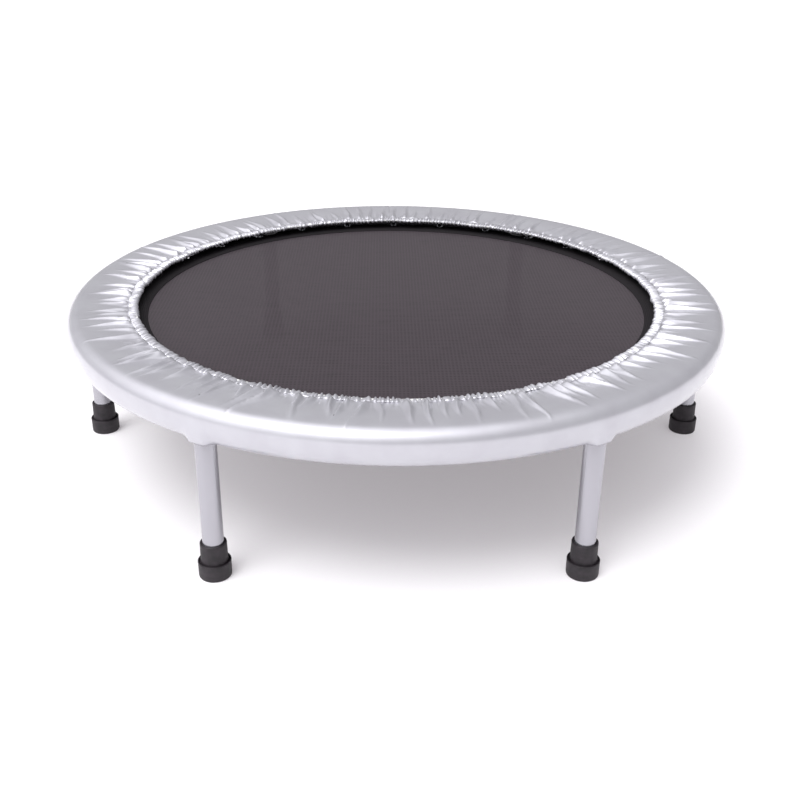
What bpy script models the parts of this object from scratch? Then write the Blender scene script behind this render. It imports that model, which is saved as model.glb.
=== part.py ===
"""Mini trampoline: a round steel frame on six screw-on legs, a woven mat hung in it on
thirty extension springs, and a vinyl cover over the springs and the frame.

Metres, +Z up. The origin is on the floor under the centre of the mat.
"""

import math

import bmesh
import bpy
from mathutils import Matrix, Vector

# Overall sizes
RIM_DIAMETER = 0.9144  # across the outside of the cover
RIM_HEIGHT = 0.2286  # from the floor to the top of the cover
FIT_GAP = 0.0003  # between pieces that touch on the real object

# Frame: two half rings of steel tube joined by a sleeve inside each joint
FRAME_TUBE_DIAMETER = 0.0318
FRAME_TUBE_WALL = 0.0015
FRAME_JOINT_ANGLE = math.radians(24)  # halfway between two springs
SLEEVE_LENGTH = 0.076
SLEEVE_WALL = 0.0015
SLEEVE_CLEARANCE = 0.0006
BOLT_SPACING = 0.040  # between the two bolts of a sleeve
BOLT_SHAFT_DIAMETER = 0.0050
BOLT_HEAD_DIAMETER = 0.0095
BOLT_HEAD_HEIGHT = 0.0030
BOLT_HEAD_ROUNDING = 0.0010
BOLT_GRIP_PAST_SLEEVE = 0.0040

# Legs
LEG_COUNT = 6
LEG_TUBE_DIAMETER = 0.0254
LEG_TUBE_WALL = 0.0012
LEG_PLUG_LENGTH = 0.030  # threaded plug fixed in the top of the leg
SOCKET_DIAMETER = 0.0230  # boss welded under the frame
SOCKET_HEIGHT = 0.0070  # below the lowest line of the frame tube
SOCKET_SADDLE = 0.0120  # how far the boss reaches up round the tube
STUD_DIAMETER = 0.0100
STUD_LENGTH = 0.024
THREAD_CLEARANCE = 0.0003

# Feet: a stepped rubber cup on the end of each leg
FOOT_HEIGHT = 0.046
FOOT_CUP_DIAMETER = 0.0394
FOOT_CUP_HEIGHT = 0.021
FOOT_COLLAR_DIAMETER = 0.0325
FOOT_COLLAR_TAPER = 0.0005  # how much the collar's radius shrinks towards its top
FOOT_SOLE = 0.006
FOOT_EDGE = 0.0015

# Mat, with a webbing border and a V-shaped wire ring for each spring
MAT_DIAMETER = 0.740
MAT_THICKNESS = 0.0012
MAT_BELOW_FRAME_CENTRE = 0.003
BORDER_WIDTH = 0.030
BORDER_OVERHANG = 0.010  # how far the border reaches past the mat's edge
BORDER_THICKNESS = 0.0020
RING_WIDTH = 0.028
RING_REACH = 0.0085  # from the border's edge to the ring's point
RING_WIRE = 0.0020  # seen from above
RING_THICKNESS = 0.0018

# Springs
SPRING_COUNT = 30
SPRING_WIRE_DIAMETER = 0.0022
SPRING_COIL_DIAMETER = 0.0100
SPRING_HOOK_LENGTH = 0.0075  # straight wire between the coil and each hook
SPRING_SHOULDER = 0.0010  # along which the coil closes to the wire at each end
SPRING_TIP_DROP = 0.0042  # how far each hook's end turns down
HOOK_HOLE_DIAMETER = 0.0050

# Cover, with elastic in a sewn casing round its hole
COVER_HOLE_DIAMETER = 0.725
COVER_THICKNESS = 0.0012
COVER_CLEARANCE = 0.0005
COVER_HEM_DROP = 0.0025  # how far the hem round the hole lies below the top
COVER_SKIRT_DROP = 0.0255  # from the frame's centre height to the skirt's edge
COVER_SKIRT_TUCK = 0.0012  # how far the skirt's edge draws in
CASING_WIDTH = 0.012
ELASTIC_DIAMETER = 0.0030
ELASTIC_CLEARANCE = 0.0004

# Mesh fineness
RING_STEPS = 60
TUBE_SIDES = 12
ROUND_SIDES = 16
BOLT_SIDES = 8
SHOULDER_STEPS = 4

# Places that follow from the sizes above
TUBE_RADIUS = FRAME_TUBE_DIAMETER / 2
COVER_SECTION = TUBE_RADIUS + COVER_CLEARANCE + COVER_THICKNESS
FRAME_RADIUS = RIM_DIAMETER / 2 - COVER_SECTION
FRAME_CENTRE_Z = RIM_HEIGHT - COVER_SECTION
FRAME_BOTTOM_Z = FRAME_CENTRE_Z - TUBE_RADIUS
LEG_ANGLE = math.tau / LEG_COUNT
SPRING_ANGLE = math.tau / SPRING_COUNT
FRAME_FACET_ANGLE = math.tau / RING_STEPS
FRAME_FACET_LENGTH = 2 * FRAME_RADIUS * math.sin(FRAME_FACET_ANGLE / 2)
SOCKET_BOTTOM_Z = FRAME_BOTTOM_Z - SOCKET_HEIGHT
LEG_TOP_Z = SOCKET_BOTTOM_Z - FIT_GAP
LEG_BOTTOM_Z = FOOT_SOLE + FIT_GAP
MAT_TOP_Z = FRAME_CENTRE_Z - MAT_BELOW_FRAME_CENTRE + MAT_THICKNESS / 2
BORDER_TOP_Z = MAT_TOP_Z - MAT_THICKNESS - FIT_GAP
RING_TOP_Z = BORDER_TOP_Z


def clear_scene():
    for obj in list(bpy.data.objects):
        bpy.data.objects.remove(obj, do_unlink=True)


def painted(name, colour, roughness, metallic=0.0):
    """A plain Principled material."""
    made = bpy.data.materials.new(name)
    made.use_nodes = True
    shader = made.node_tree.nodes["Principled BSDF"]
    shader.inputs["Base Color"].default_value = (*colour, 1.0)
    shader.inputs["Roughness"].default_value = roughness
    shader.inputs["Metallic"].default_value = metallic
    return made


def add_object(name, data, parent=None, location=(0, 0, 0), turn=0.0):
    obj = bpy.data.objects.new(name, data)
    bpy.context.collection.objects.link(obj)
    obj.parent = parent
    obj.location = location
    obj.rotation_euler.z = turn
    return obj


def finished_mesh(name, bm, material=None, sharp=math.radians(35)):
    """The bmesh as mesh data with its faces out, shaded smooth between sharp edges."""
    bmesh.ops.remove_doubles(bm, verts=bm.verts, dist=1e-6)
    bmesh.ops.recalc_face_normals(bm, faces=bm.faces)
    mesh = bpy.data.meshes.new(name)
    bm.to_mesh(mesh)
    bm.free()
    mesh.shade_smooth()
    mesh.set_sharp_from_angle(angle=sharp)
    if material:
        mesh.materials.append(material)
    return mesh


def hide_helper(obj):
    obj.hide_render = True
    obj.display_type = "WIRE"
    return obj


def add_boolean(obj, other, operation):
    modifier = obj.modifiers.new(operation.lower(), "BOOLEAN")
    modifier.operation = operation
    modifier.object = other


def spin_profile(bm, points, steps, closed=True):
    """Spins (radius, height) points a full turn about Z."""
    verts = [bm.verts.new((r, 0.0, z)) for r, z in points]
    pairs = list(zip(verts, verts[1:]))
    if closed:
        pairs.append((verts[-1], verts[0]))
    bmesh.ops.spin(
        bm,
        geom=verts + [bm.edges.new(pair) for pair in pairs],
        cent=(0, 0, 0),
        axis=(0, 0, 1),
        angle=math.tau,
        steps=steps,
        use_merge=True,
    )


def turned_mesh(name, points, material, steps=ROUND_SIDES, closed=True):
    bm = bmesh.new()
    spin_profile(bm, points, steps, closed=closed)
    return finished_mesh(name, bm, material)


def circle_points(centre_radius, centre_z, radius, sides):
    """A round section standing in the plane of a (radius, height) profile."""
    return [
        (
            centre_radius + radius * math.cos(math.tau * i / sides),
            centre_z + radius * math.sin(math.tau * i / sides),
        )
        for i in range(sides)
    ]


def edge_loop(bm, points):
    """A closed loop of edges through points, which are left without a face."""
    verts = [bm.verts.new(point) for point in points]
    return [bm.edges.new((verts[i - 1], verts[i])) for i in range(len(verts))]


def arc_tube_mesh(name, outer, inner, start, facets, end_trim, material):
    """Round tube bent to the frame's circle, open at both ends, each end cut back by end_trim."""
    bm = bmesh.new()
    turn = Matrix.Rotation(start, 3, "Z")
    rims = []
    for radius in (outer, inner):
        section = circle_points(FRAME_RADIUS, FRAME_CENTRE_Z, radius, TUBE_SIDES)
        rims += edge_loop(bm, [turn @ Vector((r, 0.0, z)) for r, z in section])
    bmesh.ops.bridge_loops(bm, edges=rims)
    first = bm.verts[:]
    spun = bmesh.ops.spin(
        bm,
        geom=bm.verts[:] + bm.edges[:] + bm.faces[:],
        cent=(0, 0, 0),
        axis=(0, 0, 1),
        angle=facets * FRAME_FACET_ANGLE,
        steps=facets,
    )
    last = [item for item in spun["geom_last"] if isinstance(item, bmesh.types.BMVert)]
    for verts, inward in ((first, FRAME_FACET_ANGLE), (last, -FRAME_FACET_ANGLE)):
        turn = Matrix.Rotation(inward, 3, "Z")
        for vert in verts:
            vert.co = vert.co.lerp(turn @ vert.co, end_trim / FRAME_FACET_LENGTH)
    return finished_mesh(name, bm, material)


def add_cylinder(bm, radius, length, matrix, sides=BOLT_SIDES):
    bmesh.ops.create_cone(
        bm,
        cap_ends=True,
        segments=sides,
        radius1=radius,
        radius2=radius,
        depth=length,
        matrix=matrix,
    )


clear_scene()

black_paint = painted("black_powder_coat", (0.018, 0.018, 0.020), 0.45)
silver_paint = painted("silver_enamel", (0.62, 0.62, 0.64), 0.30, 0.6)
bare_zinc = painted("zinc_plate", (0.72, 0.72, 0.72), 0.30, 1.0)
black_rubber = painted("black_rubber", (0.015, 0.015, 0.017), 0.75)
mat_weave = painted("woven_polypropylene", (0.070, 0.062, 0.070), 0.80)
black_webbing = painted("black_webbing", (0.010, 0.010, 0.011), 0.85)
silver_vinyl = painted("silver_vinyl", (0.58, 0.58, 0.62), 0.42, 0.35)
white_elastic = painted("white_elastic", (0.80, 0.80, 0.80), 0.90)

frame_empty = add_object("frame_axis", None)
bed_empty = add_object("bed_axis", None, frame_empty)

# Frame: the hooks' holes are drilled through the inner wall, the bolts' through the bottom.
joint_angles = [FRAME_JOINT_ANGLE, FRAME_JOINT_ANGLE + math.pi]
spring_angles = [(i + 0.5) * SPRING_ANGLE for i in range(SPRING_COUNT)]
bolt_turn = BOLT_SPACING / 2 / FRAME_RADIUS
bolt_angles = [joint + side for joint in joint_angles for side in (-bolt_turn, bolt_turn)]

hook_cutter_bm = bmesh.new()
for angle in spring_angles:
    along_radius = (
        Matrix.Rotation(angle, 4, "Z")
        @ Matrix.Translation((FRAME_RADIUS - TUBE_RADIUS, 0, FRAME_CENTRE_Z))
        @ Matrix.Rotation(math.pi / 2, 4, "Y")
    )
    add_cylinder(hook_cutter_bm, HOOK_HOLE_DIAMETER / 2, TUBE_RADIUS, along_radius)
hook_cutter = hide_helper(
    add_object("hook_hole_cutter", finished_mesh("hook_holes", hook_cutter_bm), frame_empty)
)

bolt_cutter_bm = bmesh.new()
for angle in bolt_angles:
    upright = Matrix.Rotation(angle, 4, "Z") @ Matrix.Translation((FRAME_RADIUS, 0, FRAME_BOTTOM_Z))
    bolt_hole_radius = BOLT_SHAFT_DIAMETER / 2 + FIT_GAP
    add_cylinder(bolt_cutter_bm, bolt_hole_radius, TUBE_RADIUS, upright)
bolt_cutter = hide_helper(
    add_object("bolt_hole_cutter", finished_mesh("bolt_holes", bolt_cutter_bm), frame_empty)
)

for side, start in zip(("right", "left"), joint_angles):
    mesh = arc_tube_mesh(
        f"frame_half_{side}",
        TUBE_RADIUS,
        TUBE_RADIUS - FRAME_TUBE_WALL,
        start + math.pi,
        RING_STEPS // 2,
        FIT_GAP,
        black_paint,
    )
    half = add_object(f"frame_half_{side}", mesh, frame_empty)
    add_boolean(half, hook_cutter, "DIFFERENCE")
    add_boolean(half, bolt_cutter, "DIFFERENCE")

# Sleeves, which stay between the hooks on either side of the joint, and their bolts.
# Their facets are the frame's own, so that they fit inside it whatever its radius.
sleeve_outer = TUBE_RADIUS - FRAME_TUBE_WALL - SLEEVE_CLEARANCE
facets_each_side = math.ceil(SLEEVE_LENGTH / 2 / FRAME_FACET_LENGTH)
for number, angle in enumerate(joint_angles, 1):
    mesh = arc_tube_mesh(
        f"joint_sleeve_{number}",
        sleeve_outer,
        sleeve_outer - SLEEVE_WALL,
        angle - facets_each_side * FRAME_FACET_ANGLE,
        2 * facets_each_side,
        facets_each_side * FRAME_FACET_LENGTH - SLEEVE_LENGTH / 2,
        bare_zinc,
    )
    add_boolean(add_object(f"joint_sleeve_{number}", mesh, frame_empty), bolt_cutter, "DIFFERENCE")

bolt_head_top = FRAME_BOTTOM_Z - FIT_GAP
bolt_tip = FRAME_CENTRE_Z - sleeve_outer + SLEEVE_WALL + BOLT_GRIP_PAST_SLEEVE
bolt_profile = [
    (0.0, bolt_head_top - BOLT_HEAD_HEIGHT),
    (BOLT_HEAD_DIAMETER / 2 - BOLT_HEAD_ROUNDING, bolt_head_top - BOLT_HEAD_HEIGHT),
    (BOLT_HEAD_DIAMETER / 2, bolt_head_top - BOLT_HEAD_HEIGHT + BOLT_HEAD_ROUNDING),
    (BOLT_HEAD_DIAMETER / 2, bolt_head_top),
    (BOLT_SHAFT_DIAMETER / 2, bolt_head_top),
    (BOLT_SHAFT_DIAMETER / 2, bolt_tip),
    (0.0, bolt_tip),
]
bolt_mesh = turned_mesh("joint_bolt", bolt_profile, bare_zinc, BOLT_SIDES, closed=False)
for number, angle in enumerate(bolt_angles, 1):
    place = (FRAME_RADIUS * math.cos(angle), FRAME_RADIUS * math.sin(angle), 0)
    add_object(f"joint_bolt_{number}", bolt_mesh, frame_empty, place)

# Leg sockets: a boss saddled to the underside of the tube, with a stud standing down from it
saddle_bm = bmesh.new()
saddle_section = circle_points(FRAME_RADIUS, FRAME_CENTRE_Z, TUBE_RADIUS + FIT_GAP, TUBE_SIDES)
spin_profile(saddle_bm, saddle_section, RING_STEPS)
saddle_cutter = hide_helper(
    add_object("saddle_cutter", finished_mesh("saddle", saddle_bm), frame_empty)
)
socket_profile = [
    (0.0, SOCKET_BOTTOM_Z - STUD_LENGTH),
    (STUD_DIAMETER / 2, SOCKET_BOTTOM_Z - STUD_LENGTH),
    (STUD_DIAMETER / 2, SOCKET_BOTTOM_Z),
    (SOCKET_DIAMETER / 2, SOCKET_BOTTOM_Z),
    (SOCKET_DIAMETER / 2, FRAME_BOTTOM_Z + SOCKET_SADDLE),
    (0.0, FRAME_BOTTOM_Z + SOCKET_SADDLE),
]
socket_mesh = turned_mesh("leg_socket", socket_profile, black_paint, closed=False)

# Legs: the plug's bore takes the stud, and the foot takes the bottom of the tube
leg_outer = LEG_TUBE_DIAMETER / 2
leg_inner = leg_outer - LEG_TUBE_WALL
thread_radius = STUD_DIAMETER / 2 + THREAD_CLEARANCE
plug_bottom = LEG_TOP_Z - LEG_PLUG_LENGTH
leg_profile = [
    (thread_radius, LEG_TOP_Z),
    (leg_outer, LEG_TOP_Z),
    (leg_outer, LEG_BOTTOM_Z),
    (leg_inner, LEG_BOTTOM_Z),
    (leg_inner, plug_bottom),
    (thread_radius, plug_bottom),
]
leg_mesh = turned_mesh("leg_tube", leg_profile, silver_paint)

cup_radius = FOOT_CUP_DIAMETER / 2
collar_radius = FOOT_COLLAR_DIAMETER / 2
collar_top_radius = collar_radius - FOOT_COLLAR_TAPER
foot_profile = [
    (0.0, 0.0),
    (cup_radius - FOOT_EDGE, 0.0),
    (cup_radius, FOOT_EDGE),
    (cup_radius, FOOT_CUP_HEIGHT - FOOT_EDGE),
    (cup_radius - FOOT_EDGE, FOOT_CUP_HEIGHT),
    (collar_radius, FOOT_CUP_HEIGHT),
    (collar_top_radius, FOOT_HEIGHT),
    (leg_outer + FIT_GAP, FOOT_HEIGHT),
    (leg_outer + FIT_GAP, FOOT_SOLE),
    (0.0, FOOT_SOLE),
]
foot_mesh = turned_mesh("foot", foot_profile, black_rubber, closed=False)

for number in range(1, LEG_COUNT + 1):
    angle = (number - 1) * LEG_ANGLE
    place = (FRAME_RADIUS * math.cos(angle), FRAME_RADIUS * math.sin(angle), 0)
    socket = add_object(f"leg_socket_{number}", socket_mesh, frame_empty, place)
    add_boolean(socket, saddle_cutter, "DIFFERENCE")
    leg_empty = add_object(f"leg_axis_{number}", None, frame_empty, place)
    add_object(f"leg_tube_{number}", leg_mesh, leg_empty)
    add_object(f"foot_{number}", foot_mesh, leg_empty)

# Mat: a flat disc, its webbing border under its edge, and the rings sewn to the border
mat_radius = MAT_DIAMETER / 2
mat_profile = [
    (0.0, MAT_TOP_Z - MAT_THICKNESS),
    (mat_radius, MAT_TOP_Z - MAT_THICKNESS),
    (mat_radius, MAT_TOP_Z),
    (0.0, MAT_TOP_Z),
]
add_object("mat", turned_mesh("mat", mat_profile, mat_weave, RING_STEPS, closed=False), bed_empty)

border_radius = mat_radius + BORDER_OVERHANG
border_profile = [
    (border_radius - BORDER_WIDTH, BORDER_TOP_Z - BORDER_THICKNESS),
    (border_radius, BORDER_TOP_Z - BORDER_THICKNESS),
    (border_radius, BORDER_TOP_Z),
    (border_radius - BORDER_WIDTH, BORDER_TOP_Z),
]
border_mesh = turned_mesh("mat_border", border_profile, black_webbing, RING_STEPS)
border = add_object("mat_border", border_mesh, bed_empty)

# A ring is a flat triangle of wire with its base buried in the border.
ring_root = border_radius - RING_WIRE
ring_point = border_radius + RING_REACH
half_point_angle = math.atan2(RING_WIDTH / 2, ring_point - ring_root)
ring_eye = ring_point - RING_WIRE / math.sin(half_point_angle)
eye_root = ring_root + RING_WIRE / 2
eye_half_width = (ring_eye - eye_root) * math.tan(half_point_angle)
ring_bm = bmesh.new()
for angle in spring_angles:
    turn = Matrix.Rotation(angle, 3, "Z")
    corners = [
        [(ring_point, 0), (ring_root, RING_WIDTH / 2), (ring_root, -RING_WIDTH / 2)],
        [(ring_eye, 0), (eye_root, eye_half_width), (eye_root, -eye_half_width)],
    ]
    loops = []
    for triangle in corners:
        loops += edge_loop(ring_bm, [turn @ Vector((x, y, RING_TOP_Z)) for x, y in triangle])
    flat = bmesh.ops.bridge_loops(ring_bm, edges=loops)
    raised = bmesh.ops.extrude_face_region(ring_bm, geom=flat["faces"])
    lowered = [item for item in raised["geom"] if isinstance(item, bmesh.types.BMVert)]
    bmesh.ops.translate(ring_bm, verts=lowered, vec=(0, 0, -RING_THICKNESS))
rings = hide_helper(add_object("wire_rings", finished_mesh("wire_rings", ring_bm), bed_empty))
add_boolean(border, rings, "UNION")

# Springs: the coil is a plain barrel here, with the wire hooked over the ring and in the tube
wire_radius = SPRING_WIRE_DIAMETER / 2
hook_x = ring_eye - (wire_radius + 2 * FIT_GAP) / math.sin(half_point_angle)
hook_z = RING_TOP_Z + wire_radius + FIT_GAP
wall_x = FRAME_RADIUS - TUBE_RADIUS
inside_x = wall_x + FRAME_TUBE_WALL + HOOK_HOLE_DIAMETER / 2
line = Vector((wall_x - hook_x, 0, FRAME_CENTRE_Z - hook_z))
run = line.normalized()
coil_start = Vector((hook_x, 0, hook_z)) + run * SPRING_HOOK_LENGTH
coil_end = Vector((wall_x, 0, FRAME_CENTRE_Z)) - run * SPRING_HOOK_LENGTH
spring_points = [
    (Vector((hook_x, 0, hook_z - SPRING_TIP_DROP)), 1.0),
    (Vector((hook_x, 0, hook_z)), 1.0),
    (coil_start - run * SPRING_SHOULDER, 1.0),
    (coil_start, SPRING_COIL_DIAMETER / SPRING_WIRE_DIAMETER),
    (coil_end, SPRING_COIL_DIAMETER / SPRING_WIRE_DIAMETER),
    (coil_end + run * SPRING_SHOULDER, 1.0),
    (Vector((wall_x, 0, FRAME_CENTRE_Z)), 1.0),
    (Vector((inside_x, 0, FRAME_CENTRE_Z)), 1.0),
    (Vector((inside_x, 0, FRAME_CENTRE_Z - SPRING_TIP_DROP)), 1.0),
]
spring_curve = bpy.data.curves.new("spring", "CURVE")
spring_curve.dimensions = "3D"
spring_curve.bevel_depth = wire_radius
spring_curve.bevel_resolution = 1
spring_curve.use_fill_caps = True
spring_curve.materials.append(bare_zinc)
spline = spring_curve.splines.new("POLY")
spline.points.add(len(spring_points) - 1)
for point, (place, thickness) in zip(spline.points, spring_points):
    point.co = (*place, 1.0)
    point.radius = thickness
for number, angle in enumerate(spring_angles, 1):
    add_object(f"spring_{number:02d}", spring_curve, frame_empty, turn=angle)

# Cover: drawn over the frame tube, with a skirt outside and a folded casing round its hole
hole_radius = COVER_HOLE_DIAMETER / 2
hem_top = RIM_HEIGHT - COVER_HEM_DROP
casing_gap = ELASTIC_DIAMETER + 2 * ELASTIC_CLEARANCE
casing_floor = hem_top - COVER_THICKNESS - casing_gap
skirt_radius = RIM_DIAMETER / 2 - COVER_SKIRT_TUCK
skirt_z = FRAME_CENTRE_Z - COVER_SKIRT_DROP


def shoulder_arc(radius):
    """Quarter circle over the frame tube, from its top to its outside."""
    turns = [math.pi / 2 * (1 - i / SHOULDER_STEPS) for i in range(SHOULDER_STEPS + 1)]
    return [
        (FRAME_RADIUS + radius * math.cos(a), FRAME_CENTRE_Z + radius * math.sin(a)) for a in turns
    ]


cover_profile = (
    [(hole_radius, hem_top)]
    + shoulder_arc(COVER_SECTION)
    + [(skirt_radius, skirt_z), (skirt_radius - COVER_THICKNESS, skirt_z)]
    + shoulder_arc(COVER_SECTION - COVER_THICKNESS)[::-1]
    + [
        (hole_radius + COVER_THICKNESS, hem_top - COVER_THICKNESS),
        (hole_radius + COVER_THICKNESS, casing_floor),
        (hole_radius + CASING_WIDTH, casing_floor),
        (hole_radius + CASING_WIDTH, casing_floor - COVER_THICKNESS),
        (hole_radius, casing_floor - COVER_THICKNESS),
    ]
)
add_object("cover", turned_mesh("cover", cover_profile, silver_vinyl, RING_STEPS), frame_empty)

elastic_radius = hole_radius + COVER_THICKNESS + ELASTIC_CLEARANCE + ELASTIC_DIAMETER / 2
elastic_section = circle_points(
    elastic_radius, casing_floor + casing_gap / 2, ELASTIC_DIAMETER / 2, TUBE_SIDES // 2
)
elastic_mesh = turned_mesh("hem_elastic", elastic_section, white_elastic, RING_STEPS)
add_object("hem_elastic", elastic_mesh, frame_empty)
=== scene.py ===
"""Looks of a round mini trampoline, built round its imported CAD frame.

The sections follow the way it is put together: frame ring, its joints, leg sockets, mat,
border, springs, hem elastic, cover, legs and feet, and then the floor, the light and the
camera. Lengths are in metres and +Z is up.
"""

import math
import random

import bmesh
import bpy
import numpy as np
from mathutils import Matrix, Vector


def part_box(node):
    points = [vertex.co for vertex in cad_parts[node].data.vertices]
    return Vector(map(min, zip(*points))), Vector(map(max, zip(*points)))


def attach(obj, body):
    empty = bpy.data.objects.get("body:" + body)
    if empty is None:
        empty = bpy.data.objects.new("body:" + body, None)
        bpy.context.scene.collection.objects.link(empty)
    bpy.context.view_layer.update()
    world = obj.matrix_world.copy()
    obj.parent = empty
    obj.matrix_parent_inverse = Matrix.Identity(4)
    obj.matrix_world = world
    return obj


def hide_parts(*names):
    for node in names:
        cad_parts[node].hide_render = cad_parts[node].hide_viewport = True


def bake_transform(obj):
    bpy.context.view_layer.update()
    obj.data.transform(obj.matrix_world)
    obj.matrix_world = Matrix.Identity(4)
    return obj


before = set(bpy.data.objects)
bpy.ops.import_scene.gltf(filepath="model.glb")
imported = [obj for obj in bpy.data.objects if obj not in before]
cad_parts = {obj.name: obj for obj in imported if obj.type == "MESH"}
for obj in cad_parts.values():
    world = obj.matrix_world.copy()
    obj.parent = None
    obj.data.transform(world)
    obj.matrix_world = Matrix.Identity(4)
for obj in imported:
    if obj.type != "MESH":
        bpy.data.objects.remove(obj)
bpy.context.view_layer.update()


# ---------------------------------------------------------------- frame ring
# The ring is two half circles of round steel tube, bent cold and powder coated black.
# It lies hidden in the cover's edge and shows only from below, with a hole in its inner
# wall for each spring's hook.

SPRING_COUNT = 30
HOOK_HOLE_RADIUS = 0.0025
TUBE_WALL = 0.0015
TUBE_SIDES = 28
HALF_RING_STEPS = 96
JOINT_ANGLE = math.radians(24)
JOINT_GAP = 0.0003
POWDER_BLACK = "1C1C1E"
POWDER_PEEL_MM = 1.6
POWDER_BLOOM_MM = 60


def linear_colour(hex_colour):
    """An sRGB hex value as linear red, green, blue and alpha."""
    parts = [int(hex_colour[i : i + 2], 16) / 255 for i in (0, 2, 4)]
    return (*[c / 12.92 if c <= 0.04045 else ((c + 0.055) / 1.055) ** 2.4 for c in parts], 1.0)


def add_node(tree, kind, settings=None, links=None):
    """One shader node with its settings, and links from other nodes' sockets to its inputs."""
    node = tree.nodes.new("ShaderNode" + kind)
    for name, value in (settings or {}).items():
        if isinstance(name, int) or name in node.inputs:
            node.inputs[name].default_value = value
        else:
            setattr(node, name, value)
    for name, socket in (links or {}).items():
        tree.links.new(socket, node.inputs[name])
    return node


def start_material(name, colour, roughness, metallic=0.0):
    """A material with its Principled shader set from the finish's typical values."""
    made = bpy.data.materials.new(name)
    made.use_nodes = True
    shader = made.node_tree.nodes["Principled BSDF"]
    shader.inputs["Base Color"].default_value = linear_colour(colour)
    shader.inputs["Roughness"].default_value = roughness
    shader.inputs["Metallic"].default_value = metallic
    return made, made.node_tree, shader


def per_metre(millimetres):
    """The scale of a texture whose features are that many millimetres apart."""
    return 1000.0 / millimetres


# Polyester powder coat, sprayed and baked: satin black, with the faint orange peel of melted
# powder and a greyer bloom where it lies thin.
powder_coat, tree, shader = start_material("black_powder_coat", POWDER_BLACK, 0.42)
place = add_node(tree, "TexCoord").outputs["Object"]
peel = add_node(tree, "TexNoise", {"Scale": per_metre(POWDER_PEEL_MM), "Detail": 2.0}, {"Vector": place})
bloom = add_node(tree, "TexNoise", {"Scale": per_metre(POWDER_BLOOM_MM)}, {"Vector": place})
tint = add_node(tree, "ValToRGB", None, {"Fac": bloom.outputs["Fac"]})
tint.color_ramp.elements[0].color = linear_colour("171719")
tint.color_ramp.elements[1].color = linear_colour("232326")
tree.links.new(tint.outputs["Color"], shader.inputs["Base Color"])
bump = add_node(tree, "Bump", {"Strength": 0.12, "Distance": 0.0002}, {"Height": peel.outputs["Fac"]})
tree.links.new(bump.outputs["Normal"], shader.inputs["Normal"])


def new_piece(name, bm, material, smooth_angle=40):
    """The bmesh as an object at the origin, merged, facing out and shaded smooth."""
    bmesh.ops.remove_doubles(bm, verts=bm.verts, dist=1e-6)
    bmesh.ops.recalc_face_normals(bm, faces=bm.faces)
    mesh = bpy.data.meshes.new(name)
    bm.to_mesh(mesh)
    bm.free()
    mesh.shade_smooth()
    mesh.set_sharp_from_angle(angle=math.radians(smooth_angle))
    mesh.materials.append(material)
    piece = bpy.data.objects.new(name, mesh)
    bpy.context.scene.collection.objects.link(piece)
    return piece


tube_low, tube_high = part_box("frame_half_right")
TUBE_RADIUS = (tube_high.z - tube_low.z) / 2
FRAME_Z = (tube_high.z + tube_low.z) / 2
LEG_LOW, LEG_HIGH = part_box("leg_tube_1")
FRAME_RADIUS = (LEG_LOW.x + LEG_HIGH.x) / 2
spring_angles = [(i + 0.5) * math.tau / SPRING_COUNT for i in range(SPRING_COUNT)]


def add_ring_section(bm, radius, height, size, sides, start):
    """A round outline standing across the ring's circle at the start angle."""
    made = bmesh.ops.create_circle(bm, segments=sides, radius=size)
    verts = made["verts"]
    bmesh.ops.rotate(bm, verts=verts, cent=(0, 0, 0), matrix=Matrix.Rotation(math.pi / 2, 3, "X"))
    bmesh.ops.translate(bm, verts=verts, vec=(radius, 0, height))
    bmesh.ops.rotate(bm, verts=verts, cent=(0, 0, 0), matrix=Matrix.Rotation(start, 3, "Z"))
    return [edge for edge in bm.edges if edge.verts[0] in verts]


hole_bm = bmesh.new()
for angle in spring_angles:
    bmesh.ops.create_cone(
        hole_bm,
        cap_ends=True,
        segments=12,
        radius1=HOOK_HOLE_RADIUS,
        radius2=HOOK_HOLE_RADIUS,
        depth=TUBE_RADIUS,
        matrix=Matrix.Rotation(angle, 4, "Z")
        @ Matrix.Translation((FRAME_RADIUS - TUBE_RADIUS, 0, FRAME_Z))
        @ Matrix.Rotation(math.pi / 2, 4, "Y"),
    )
hook_holes = new_piece("hook_hole_drill", hole_bm, powder_coat)

for side, start in (("right", JOINT_ANGLE + math.pi), ("left", JOINT_ANGLE)):
    gap = JOINT_GAP / FRAME_RADIUS
    bm = bmesh.new()
    rims = add_ring_section(bm, FRAME_RADIUS, FRAME_Z, TUBE_RADIUS, TUBE_SIDES, start + gap)
    rims += add_ring_section(bm, FRAME_RADIUS, FRAME_Z, TUBE_RADIUS - TUBE_WALL, TUBE_SIDES, start + gap)
    bmesh.ops.bridge_loops(bm, edges=list(set(rims)))
    bmesh.ops.spin(
        bm,
        geom=bm.verts[:] + bm.edges[:] + bm.faces[:],
        cent=(0, 0, 0),
        axis=(0, 0, 1),
        angle=math.pi - 2 * gap,
        steps=HALF_RING_STEPS,
    )
    tube = new_piece(f"ring_tube_{side}", bm, powder_coat)
    drill = tube.modifiers.new("hook_holes", "BOOLEAN")
    drill.operation = "DIFFERENCE"
    drill.object = hook_holes
    drilled = tube.evaluated_get(bpy.context.evaluated_depsgraph_get())
    drilled = bpy.data.meshes.new_from_object(drilled)
    tube.modifiers.clear()
    tube.data = drilled
    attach(tube, "frame")
    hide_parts(f"frame_half_{side}")
bpy.data.objects.remove(hook_holes)


# ---------------------------------------------------------------- joints of the ring
# A steel sleeve inside each of the two joints is held by two small bolts from below.
# All of them are zinc plated, which stays grey and bright beside the black paint.

ZINC_CLOUD_MM = 14

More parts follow.
